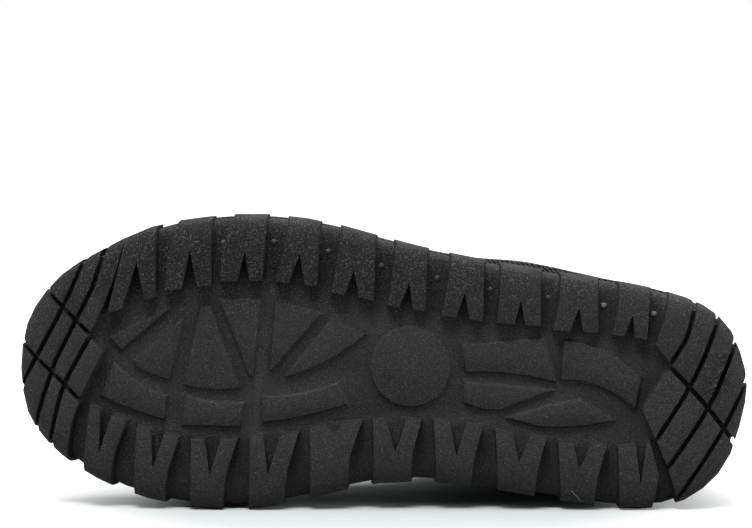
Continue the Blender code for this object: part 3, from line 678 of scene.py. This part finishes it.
# Both nub rubbers are painted paler than the sole, a painted highlight; the pale one also colours the
# flash hair.
pale = grained_rubber("pale rubber", 0.45, (0.09, 0.09, 0.09, 1.0), (0.26, 0.26, 0.255, 1.0))
dull = grained_rubber("dull rubber", 0.5, (0.02, 0.02, 0.02, 1.0), (0.07, 0.07, 0.07, 1.0))
dark_nubs = set_out(new_nub(), [nub_matrix(*p) for p in NUB_PLACES[:-PALE_NUBS]], "gap_highlight_nubs")
finish_piece(dark_nubs, dull)
pale_nubs = set_out(new_nub(), [nub_matrix(*p) for p in NUB_PLACES[-PALE_NUBS:]], "bright_highlight_nubs")
finish_piece(pale_nubs, pale)

# %% [markdown]
# ## The mark of a pin
#
# A pin of the mould has left a small ring on one of the raised pieces of the floor. It is a thin
# torus that is half sunk in the rubber.

# %% Stamp the ring
PIN_PLACE = (59.5, 48.9)
PIN_RADIUS = 1.6 * MM
PIN_LINE = 0.16 * MM
bpy.ops.object.select_all(action="DESELECT")
bpy.ops.mesh.primitive_torus_add(
    major_radius=PIN_RADIUS, minor_radius=PIN_LINE, major_segments=28, minor_segments=8
)
pin_mark = set_out(bpy.context.object, [nub_matrix(*PIN_PLACE)], "pin_mark")
finish_piece(pin_mark, rubber)

# %% [markdown]
# ## A hair of flash
#
# Where the mould's halves met, a thin hair of rubber still hangs from one lug of the inner side.
# It starts as a small ring of five corners that is extruded step by step along a bent path.

# %% Extrude the hair
HAIR_START = (80.0, -117.0, 8.6)
HAIR_STEPS = (
    (0.5, -0.3, -0.8),
    (0.9, -0.3, -0.9),
    (1.1, -0.2, -1.0),
    (0.8, -0.1, -1.2),
    (0.9, 0.0, -0.7),
)
HAIR_RADIUS = 0.13 * MM
bpy.ops.object.select_all(action="DESELECT")
bpy.ops.mesh.primitive_circle_add(
    vertices=5, radius=HAIR_RADIUS, fill_type="NGON", location=[c * MM for c in HAIR_START]
)
hair = bpy.context.object
hair.name = "flash_hair"
bpy.ops.object.mode_set(mode="EDIT")
bpy.ops.mesh.select_all(action="SELECT")
for step in HAIR_STEPS:
    bpy.ops.mesh.extrude_region_move(TRANSFORM_OT_translate={"value": [c * MM for c in step]})
bpy.ops.mesh.select_all(action="SELECT")
bpy.ops.mesh.normals_make_consistent(inside=False)
bpy.ops.object.mode_set(mode="OBJECT")
bpy.ops.object.transform_apply(location=True, rotation=True, scale=True)
finish_piece(hair, pale)

# %% [markdown]
# ## Coarse woven textile
#
# The upper is a heavy cord twill: thick yarns that run aslant, a little over a millimetre apart,
# each with a row of knots. The weave follows the cloth, so it is worked out on three planes and
# each face takes the plane it lies nearest to. It is a group, so that its many nodes stay out of
# the cloth's own graph. The seam that closes the back of the boot is pressed into the cloth as a
# narrow groove. The lining is a curly fleece and the insole a dense felt: both are plain noise.

# %% Build the weave group
WEAVE_PITCH = 1.9 * MM
KNOT_STRETCH = 1.7
PLANE_BLEND = 0.06
weave_group, weave_in, weave_out = new_group(
    "cord weave",
    [("Place", VECTOR, None), ("Facing", VECTOR, None), ("Pitch", FLOAT, WEAVE_PITCH)],
    [("Height", FLOAT), ("Tone", FLOAT)],
)


def cord_plane(first, second):
    """Height of the weave on one plane, from its two coordinates."""
    tree = weave_group
    pitch = weave_in.outputs["Pitch"]
    slant = sums(tree, "DIVIDE", sums(tree, "ADD", first, second), pitch)
    knot_pitch = sums(tree, "MULTIPLY", pitch, KNOT_STRETCH)
    cross = sums(tree, "DIVIDE", sums(tree, "SUBTRACT", second, first), knot_pitch)
    row = sums(tree, "FLOOR", slant)
    step = sums(tree, "MULTIPLY_ADD", row, 0.5, cross)
    yarn = sums(tree, "ABSOLUTE", sums(tree, "SINE", sums(tree, "MULTIPLY", slant, math.pi)))
    knot = sums(tree, "ABSOLUTE", sums(tree, "SINE", sums(tree, "MULTIPLY", step, math.pi)))
    return sums(tree, "MULTIPLY", yarn, sums(tree, "MULTIPLY_ADD", knot, 0.55, 0.45))


# %% Choose the plane of each face
weave_place = weave_group.nodes.new("ShaderNodeSeparateXYZ")
weave_group.links.new(weave_in.outputs["Place"], weave_place.inputs[0])
weave_turn = weave_group.nodes.new("ShaderNodeSeparateXYZ")
weave_group.links.new(weave_in.outputs["Facing"], weave_turn.inputs[0])
weave_x, weave_y, weave_z = [weave_place.outputs[axis] for axis in "XYZ"]
plane_x = cord_plane(weave_y, weave_z)
plane_y = cord_plane(weave_x, weave_z)
plane_z = cord_plane(weave_x, weave_y)
turn_x, turn_y, turn_z = [sums(weave_group, "ABSOLUTE", weave_turn.outputs[axis]) for axis in "XYZ"]
over_y = rescale(weave_group, sums(weave_group, "SUBTRACT", turn_y, turn_x), -PLANE_BLEND, PLANE_BLEND)
side_mix = weave_group.nodes.new("ShaderNodeMix")
weave_group.links.new(over_y, side_mix.inputs["Factor"])
weave_group.links.new(plane_x, side_mix.inputs["A"])
weave_group.links.new(plane_y, side_mix.inputs["B"])
widest = sums(weave_group, "MAXIMUM", turn_x, turn_y)
over_z = rescale(weave_group, sums(weave_group, "SUBTRACT", turn_z, widest), -PLANE_BLEND, PLANE_BLEND)
all_mix = weave_group.nodes.new("ShaderNodeMix")
weave_group.links.new(over_z, all_mix.inputs["Factor"])
weave_group.links.new(side_mix.outputs["Result"], all_mix.inputs["A"])
weave_group.links.new(plane_z, all_mix.inputs["B"])
weave_group.links.new(all_mix.outputs["Result"], weave_out.inputs["Height"])
weave_slow = noise(weave_group, weave_in.outputs["Place"], 60.0, 3.0, 0.6)
weave_group.links.new(rescale(weave_group, weave_slow, 0.3, 0.7), weave_out.inputs["Tone"])
print("group:", weave_group.name)

# %% Mix the textile
SEAM_HEIGHT = 40.0 * MM
SEAM_WIDTH = 0.7 * MM
SEAM_FROM = 105.0 * MM
SEAM_TO = 112.0 * MM
CLOTH_DARK = (0.034, 0.038, 0.035, 1.0)
CLOTH_LIGHT = (0.06, 0.066, 0.06, 1.0)
# Nearly black between the yarns: painted shade in the gaps of the weave.
CLOTH_GAP_SHADE = (0.006, 0.007, 0.007, 1.0)
SEAM_BLACK = (0.004, 0.004, 0.004, 1.0)
CLOTH_RELIEF = 0.9 * MM
textile, textile_tree, textile_shader, textile_place = new_material("cord textile", 0.8, 0.3)
textile_weave = use_group(
    textile_tree,
    weave_group,
    Place=textile_place.outputs["Object"],
    Facing=textile_place.outputs["Normal"],
)
textile_lit = blend_colour(textile_tree, textile_weave.outputs["Tone"], CLOTH_DARK, CLOTH_LIGHT)
textile_crest = rescale(textile_tree, textile_weave.outputs["Height"], 0.1, 0.7)
# Painted shade in the gaps of the weave, the yarn colour on its crests.
textile_colour = blend_colour(textile_tree, textile_crest, CLOTH_GAP_SHADE, textile_lit)
textile_axes = textile_tree.nodes.new("ShaderNodeSeparateXYZ")
textile_tree.links.new(textile_place.outputs["Object"], textile_axes.inputs[0])
seam_shift = sums(textile_tree, "SUBTRACT", textile_axes.outputs["Z"], SEAM_HEIGHT)
seam_off = sums(textile_tree, "ABSOLUTE", seam_shift)
seam_back = rescale(textile_tree, textile_axes.outputs["X"], SEAM_FROM, SEAM_TO)
seam_line = sums(textile_tree, "MULTIPLY", rescale(textile_tree, seam_off, SEAM_WIDTH, 0.0), seam_back)
seam_dark = sums(textile_tree, "MULTIPLY", seam_line, 0.8)
seamed_colour = blend_colour(textile_tree, seam_dark, textile_colour, SEAM_BLACK)
textile_tree.links.new(seamed_colour, textile_shader.inputs["Base Color"])
textile_shader.inputs["Sheen Weight"].default_value = 0.25
textile_shader.inputs["Sheen Roughness"].default_value = 0.5
textile_relief = sums(textile_tree, "MULTIPLY_ADD", seam_line, -1.5, textile_weave.outputs["Height"])
add_bump(textile_tree, textile_shader, textile_relief, CLOTH_RELIEF)

# %% Mix the fleece of the lining and the felt of the insole
FLEECE_DARK = (0.02, 0.021, 0.022, 1.0)
FLEECE_LIGHT = (0.075, 0.078, 0.08, 1.0)
FELT_DARK = (0.05, 0.05, 0.048, 1.0)
FELT_LIGHT = (0.12, 0.12, 0.115, 1.0)
fleece, fleece_tree, fleece_shader, fleece_place = new_material("grey fleece", 0.95, 0.2)
fleece_curl = noise(fleece_tree, fleece_place.outputs["Object"], 420.0, 4.0, 0.7)
fleece_share = rescale(fleece_tree, fleece_curl, 0.3, 0.7)
fleece_colour = blend_colour(fleece_tree, fleece_share, FLEECE_DARK, FLEECE_LIGHT)
fleece_tree.links.new(fleece_colour, fleece_shader.inputs["Base Color"])
fleece_shader.inputs["Sheen Weight"].default_value = 0.5
add_bump(fleece_tree, fleece_shader, fleece_curl, 1.2 * MM)

felt, felt_tree, felt_shader, felt_place = new_material("insole felt", 0.95, 0.2)
felt_fibre = noise(felt_tree, felt_place.outputs["Object"], 900.0, 5.0, 0.75)
felt_share = rescale(felt_tree, felt_fibre, 0.35, 0.65)
felt_colour = blend_colour(felt_tree, felt_share, FELT_DARK, FELT_LIGHT)
felt_tree.links.new(felt_colour, felt_shader.inputs["Base Color"])
add_bump(felt_tree, felt_shader, felt_fibre, 0.5 * MM, 0.8)
print("materials:", [m.name for m in (rubber, textile, fleece, felt)])

# %% [markdown]
# ## The upper
#
# The solid upper has few faces. Its triangles are joined to quads, and a subdivision surface turns
# the quads into cloth-like curves. Its sharp rims are creased first so that they stay where the
# solid has them, clear of the rubber cup. A boot that has been folded flat on its side keeps soft
# troughs across the instep and round the ankle. They are placed one by one, each as a line between
# two points that pushes the cloth inwards, with a low ridge on either side. A row of the table
# gives the line's two ends, the way of the push, its width and its depth, in millimetres. One line
# pushes outwards: over the rim of the outer side the cloth swells enough to show above the sole.

# %% Copy the upper and crease its rims
QUAD_FLATNESS = math.radians(40.0)
QUAD_SKEW = math.radians(60.0)
RIM_FROM = math.radians(50.0)
upper = copy_solid("upper", "textile_upper")
bpy.ops.object.mode_set(mode="EDIT")
bpy.ops.mesh.select_mode(type="EDGE")
bpy.ops.mesh.select_all(action="SELECT")
bpy.ops.mesh.tris_convert_to_quads(face_threshold=QUAD_FLATNESS, shape_threshold=QUAD_SKEW)
bpy.ops.mesh.select_all(action="DESELECT")
bpy.ops.mesh.edges_select_sharp(sharpness=RIM_FROM)
bpy.ops.mesh.mark_seam(clear=False)
bpy.ops.transform.edge_crease(value=1.0)
bpy.ops.object.mode_set(mode="OBJECT")
quads = sum(len(face.vertices) == 4 for face in upper.data.polygons)
print("upper quads:", quads, "of", len(upper.data.polygons))

# %% Tell the inner face from the outer one
SHAFT_MIDDLE = Vector((79.5 * MM, 0.0, 40.0 * MM))
SHAFT_FROM = 60.0 * MM
WALL_LEAN = 0.5
upper.data.materials.append(textile)
upper.data.materials.append(fleece)
only(upper)
bpy.ops.object.mode_set(mode="EDIT")
bpy.ops.mesh.select_mode(type="FACE")
bpy.ops.mesh.select_all(action="DESELECT")
bpy.ops.object.mode_set(mode="OBJECT")
for face in upper.data.polygons:
    off_middle = face.center - SHAFT_MIDDLE
    off_middle.y = 0.0
    high_up = face.center.y > SHAFT_FROM and abs(face.normal.y) < WALL_LEAN
    face.select = high_up and face.normal.dot(off_middle) < 0.0
bpy.ops.object.mode_set(mode="EDIT")
bpy.ops.mesh.select_linked(delimit={"SEAM"})
upper.active_material_index = 1
bpy.ops.object.material_slot_assign()
bpy.ops.mesh.select_all(action="DESELECT")
bpy.ops.object.mode_set(mode="OBJECT")
print("lining faces:", sum(face.material_index == 1 for face in upper.data.polygons))

# %% Subdivide it
smooth_cloth = upper.modifiers.new("smooth cloth", "SUBSURF")
smooth_cloth.levels = 2
smooth_cloth.render_levels = 2
apply_all(upper)
print("upper faces:", len(upper.data.polygons))

# %% Press the creases
CREASES = (
    ((12.0, -38.0, 30.0), (6.0, -40.0, 82.0), (-0.75, -0.65, 0.0), 5.0, 3.4),
    ((24.0, -26.0, 24.0), (20.0, -24.0, 78.0), (0.9, -0.4, 0.0), 4.5, 3.6),
    ((34.0, -8.0, 30.0), (26.0, 4.0, 72.0), (0.95, -0.2, 0.0), 5.0, 3.0),
    ((30.0, 40.0, 44.0), (70.0, 26.0, 82.0), (0.3, 0.0, -0.9), 6.0, 2.6),
    ((62.0, -12.0, 82.0), (118.0, -2.0, 74.0), (0.0, 0.0, -1.0), 6.0, 2.8),
    ((70.0, 62.0, 82.0), (122.0, 78.0, 66.0), (-0.4, 0.0, -0.9), 7.0, 2.2),
    ((126.0, -20.0, 24.0), (128.0, -14.0, 64.0), (-1.0, 0.0, 0.0), 5.0, 2.4),
    ((124.0, 30.0, 20.0), (124.0, 42.0, 58.0), (-1.0, 0.0, 0.0), 6.0, 2.0),
    ((50.0, -62.0, 103.0), (92.0, -60.0, 98.0), (0.0, 0.0, 1.0), 9.0, 3.4),
    ((-60.0, -66.0, 40.0), (-52.0, -60.0, 84.0), (0.0, -1.0, 0.0), 5.0, 2.0),
    ((-36.0, -56.0, 34.0), (-30.0, -52.0, 86.0), (0.0, -1.0, 0.0), 5.5, 2.4),
)
KEPT_BELOW = -72.0 * MM
KEPT_COLLAR = 108.0 * MM
KEPT_FADE = 12.0 * MM
RIDGE_SHARE = 0.35
RIDGE_PLACE = 1.7
END_PHASE = 0.12
UPPER_SMOOTH = math.radians(60.0)


def ramp(value):
    """A value held between none and one."""
    return max(0.0, min(1.0, value))


def crease_push(place, start, end, width):
    """Share of a crease's depth at a place: a trough with a low ridge on either side."""
    along_line = end - start
    share = ramp((place - start).dot(along_line) / along_line.length_squared)
    gap = (place - (start + along_line * share)).length / width
    ends = math.sin(math.pi * (END_PHASE + (1.0 - 2.0 * END_PHASE) * share))
    return ends * (math.exp(-gap * gap) - RIDGE_SHARE * math.exp(-((gap - RIDGE_PLACE) ** 2)))


for vertex in upper.data.vertices:
    place = vertex.co.copy()
    free = ramp((place.y - KEPT_BELOW) / KEPT_FADE) * ramp((KEPT_COLLAR - place.y) / KEPT_FADE)
    for start, end, push, width, depth in CREASES:
        share = crease_push(place, Vector(start) * MM, Vector(end) * MM, width * MM)
        vertex.co += Vector(push).normalized() * (share * depth * MM * free)
only(upper)
bpy.ops.object.shade_smooth_by_angle(angle=UPPER_SMOOTH)
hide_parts("upper")
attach(upper, "root")
print("creases pressed:", len(CREASES))

# %% [markdown]
# ## Cord ribs over the rim
#
# Where the cloth swells over the cup's rim, its thick yarns stand out one by one against the
# light. They are painted much paler than the cloth there: a painted highlight for the light that
# rims them. They are modelled as short slanted cords, each a stretched ball laid on the cloth. A
# ray from above finds the cloth at each end of a cord. Towards the two ends of a row the cords sink
# into the cloth.

# %% Find the places of the ribs
RIB_RADIUS = 0.45 * MM
RIB_LENGTH = 3.0 * MM
LONGEST_RIB = 6.0 * MM
RIB_PITCH = 1.0
RIB_FROM = 34.0
RIB_TO = 108.0
RIB_FADE = 20.0
RIB_ROWS = 6
FIRST_ROW = -73.0
ROW_PITCH = 2.8
ROW_DEPTH = 2.6
RIB_SLANT = 1.1
ABOVE = 160.0
upper_work = triangles_of(upper)
upper_tree = BVHTree.FromBMesh(upper_work)
upper_work.free()
print("rows of cords:", RIB_ROWS)


def new_cord(radius, length):
    """A ball stretched along X."""
    bpy.ops.object.select_all(action="DESELECT")
    quarter_turn = (0.0, math.pi / 2.0, 0.0)
    bpy.ops.mesh.primitive_uv_sphere_add(segments=8, ring_count=6, radius=radius, rotation=quarter_turn)
    bpy.ops.object.transform_apply(location=False, rotation=True, scale=False)
    bpy.ops.object.mode_set(mode="EDIT")
    bpy.ops.mesh.select_all(action="SELECT")
    bpy.ops.transform.resize(value=(length / (2.0 * radius), 1.0, 1.0))
    bpy.ops.object.mode_set(mode="OBJECT")
    return bpy.context.object


def on_cloth(place, way):
    """Place and normal where a ray meets the cloth, or None."""
    hit, normal, _, _ = upper_tree.ray_cast(Vector(place) * MM, Vector(way))
    return None if hit is None else (hit, normal)


def rib_matrices():
    """Places of the ribs, row by row from the rim up."""
    made = []
    down = (0.0, 0.0, -1.0)
    for row in range(RIB_ROWS):
        low = FIRST_ROW + ROW_PITCH * row
        x = RIB_FROM + 0.5 * RIB_PITCH * row
        while x < RIB_TO:
            first = on_cloth((x, low, ABOVE), down)
            second = on_cloth((x + RIB_SLANT, low + ROW_DEPTH, ABOVE), down)
            if first and second and (first[0] - second[0]).length < LONGEST_RIB:
                fade = min(1.0, min(x - RIB_FROM, RIB_TO - x) / RIB_FADE)
                middle = (first[0] + second[0]) / 2.0 - first[1] * RIB_RADIUS * (1.0 - fade)
                made.append(upright(middle, second[0] - first[0], first[1]))
            x += RIB_PITCH
    return made


# %% Mix the raised cord and lay it
# Far paler than the cloth: a painted highlight for the light that rims the cords.
RIB_HIGHLIGHT_DARK = (0.09, 0.099, 0.09, 1.0)
RIB_HIGHLIGHT_LIGHT = (0.3, 0.315, 0.285, 1.0)
ribs = set_out(new_cord(RIB_RADIUS, RIB_LENGTH), rib_matrices(), "rim_cords")
cord, cord_tree, cord_shader, cord_place = new_material("raised cord", 0.75, 0.35)
cord_twist = noise(cord_tree, cord_place.outputs["Object"], 1300.0, 2.0, 0.6)
cord_share = rescale(cord_tree, cord_twist, 0.3, 0.7)
cord_colour = blend_colour(cord_tree, cord_share, RIB_HIGHLIGHT_DARK, RIB_HIGHLIGHT_LIGHT)
cord_tree.links.new(cord_colour, cord_shader.inputs["Base Color"])
cord_shader.inputs["Sheen Weight"].default_value = 0.3
add_bump(cord_tree, cord_shader, cord_twist, 0.3 * MM)
finish_piece(ribs, cord)

# %% [markdown]
# ## Stitches
#
# Two rows of strong thread hold the hem of the collar, and two more run down the back on either
# side of the seam. A stitch is a short stretched ball that lies half in the cloth.

# %% Mix the thread
THREAD_DARK = (0.02, 0.021, 0.021, 1.0)
THREAD_LIGHT = (0.07, 0.072, 0.07, 1.0)
thread, thread_tree, thread_shader, thread_place = new_material("dark thread", 0.6, 0.3)
thread_twist = noise(thread_tree, thread_place.outputs["Object"], 1600.0, 2.0, 0.5)
thread_colour = blend_colour(thread_tree, thread_twist, THREAD_DARK, THREAD_LIGHT)
thread_tree.links.new(thread_colour, thread_shader.inputs["Base Color"])
add_bump(thread_tree, thread_shader, thread_twist, 0.2 * MM)
print("material:", thread.name)

# %% Sew the hem and the back
STITCH_RADIUS = 0.45 * MM
STITCH_LENGTH = 2.8 * MM
HEM_ROWS = (103.5, 108.5)
HEM_STITCHES = 84
HEM_CLEAR = 1.5 * MM
BACK_OFFSETS = (-3.0, 3.0)
BACK_FROM = -56.0
BACK_TO = 100.0
BACK_PITCH = 4.0
BACK_STEP = 1.0
OUTSIDE = 150.0
BEHIND = 170.0


def hem_matrices():
    """Stitches round the collar, found by rays towards the shaft's middle; none lie on the floor."""
    made = []
    for height in HEM_ROWS:
        round_hem = []
        for i in range(HEM_STITCHES):
            angle = 2.0 * math.pi * i / HEM_STITCHES
            way = Vector((math.cos(angle), 0.0, math.sin(angle)))
            start = Vector((SHAFT_MIDDLE.x / MM, height, SHAFT_MIDDLE.z / MM)) + way * OUTSIDE
            round_hem.append(on_cloth(start, -way))
        for i, (place, normal) in enumerate(round_hem):
            ahead = round_hem[(i + 1) % HEM_STITCHES][0]
            if place.z > HEM_CLEAR:
                made.append(upright(place, ahead - place, normal))
    return made


def back_matrices():
    """Stitches down the back, beside the seam."""
    made = []
    forwards = (-1.0, 0.0, 0.0)
    for offset in BACK_OFFSETS:
        z = SEAM_HEIGHT / MM + offset
        y = BACK_FROM
        while y < BACK_TO:
            low = on_cloth((BEHIND, y, z), forwards)
            high = on_cloth((BEHIND, y + BACK_STEP, z), forwards)
            if low and high:
                made.append(upright(low[0], high[0] - low[0], low[1]))
            y += BACK_PITCH
    return made


stitch_places = hem_matrices() + back_matrices()
stitches = set_out(new_cord(STITCH_RADIUS, STITCH_LENGTH), stitch_places, "stitches")
finish_piece(stitches, thread)

# %% [markdown]
# ## The insole
#
# The insole is a cut sheet of felt, so it keeps a plain edge that is only slightly rounded.

# %% Copy and round the insole
SHEET_BEVEL = 0.8 * MM
SHEET_FLAT = math.radians(0.2)
SHEET_SHARP = math.radians(50.0)
SHEET_SMOOTH = math.radians(40.0)
insole = copy_solid("insole", "felt_insole")
bpy.ops.object.mode_set(mode="EDIT")
bpy.ops.mesh.select_all(action="SELECT")
bpy.ops.mesh.dissolve_limited(angle_limit=SHEET_FLAT)
bpy.ops.object.mode_set(mode="OBJECT")
round_sheet = insole.modifiers.new("round edges", "BEVEL")
round_sheet.width = SHEET_BEVEL
round_sheet.segments = 3
round_sheet.limit_method = "ANGLE"
round_sheet.angle_limit = SHEET_SHARP
apply_all(insole)
bpy.ops.object.shade_smooth_by_angle(angle=SHEET_SMOOTH)
insole.data.materials.append(felt)
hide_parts("insole")
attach(insole, "root")
print("insole faces:", len(insole.data.polygons))
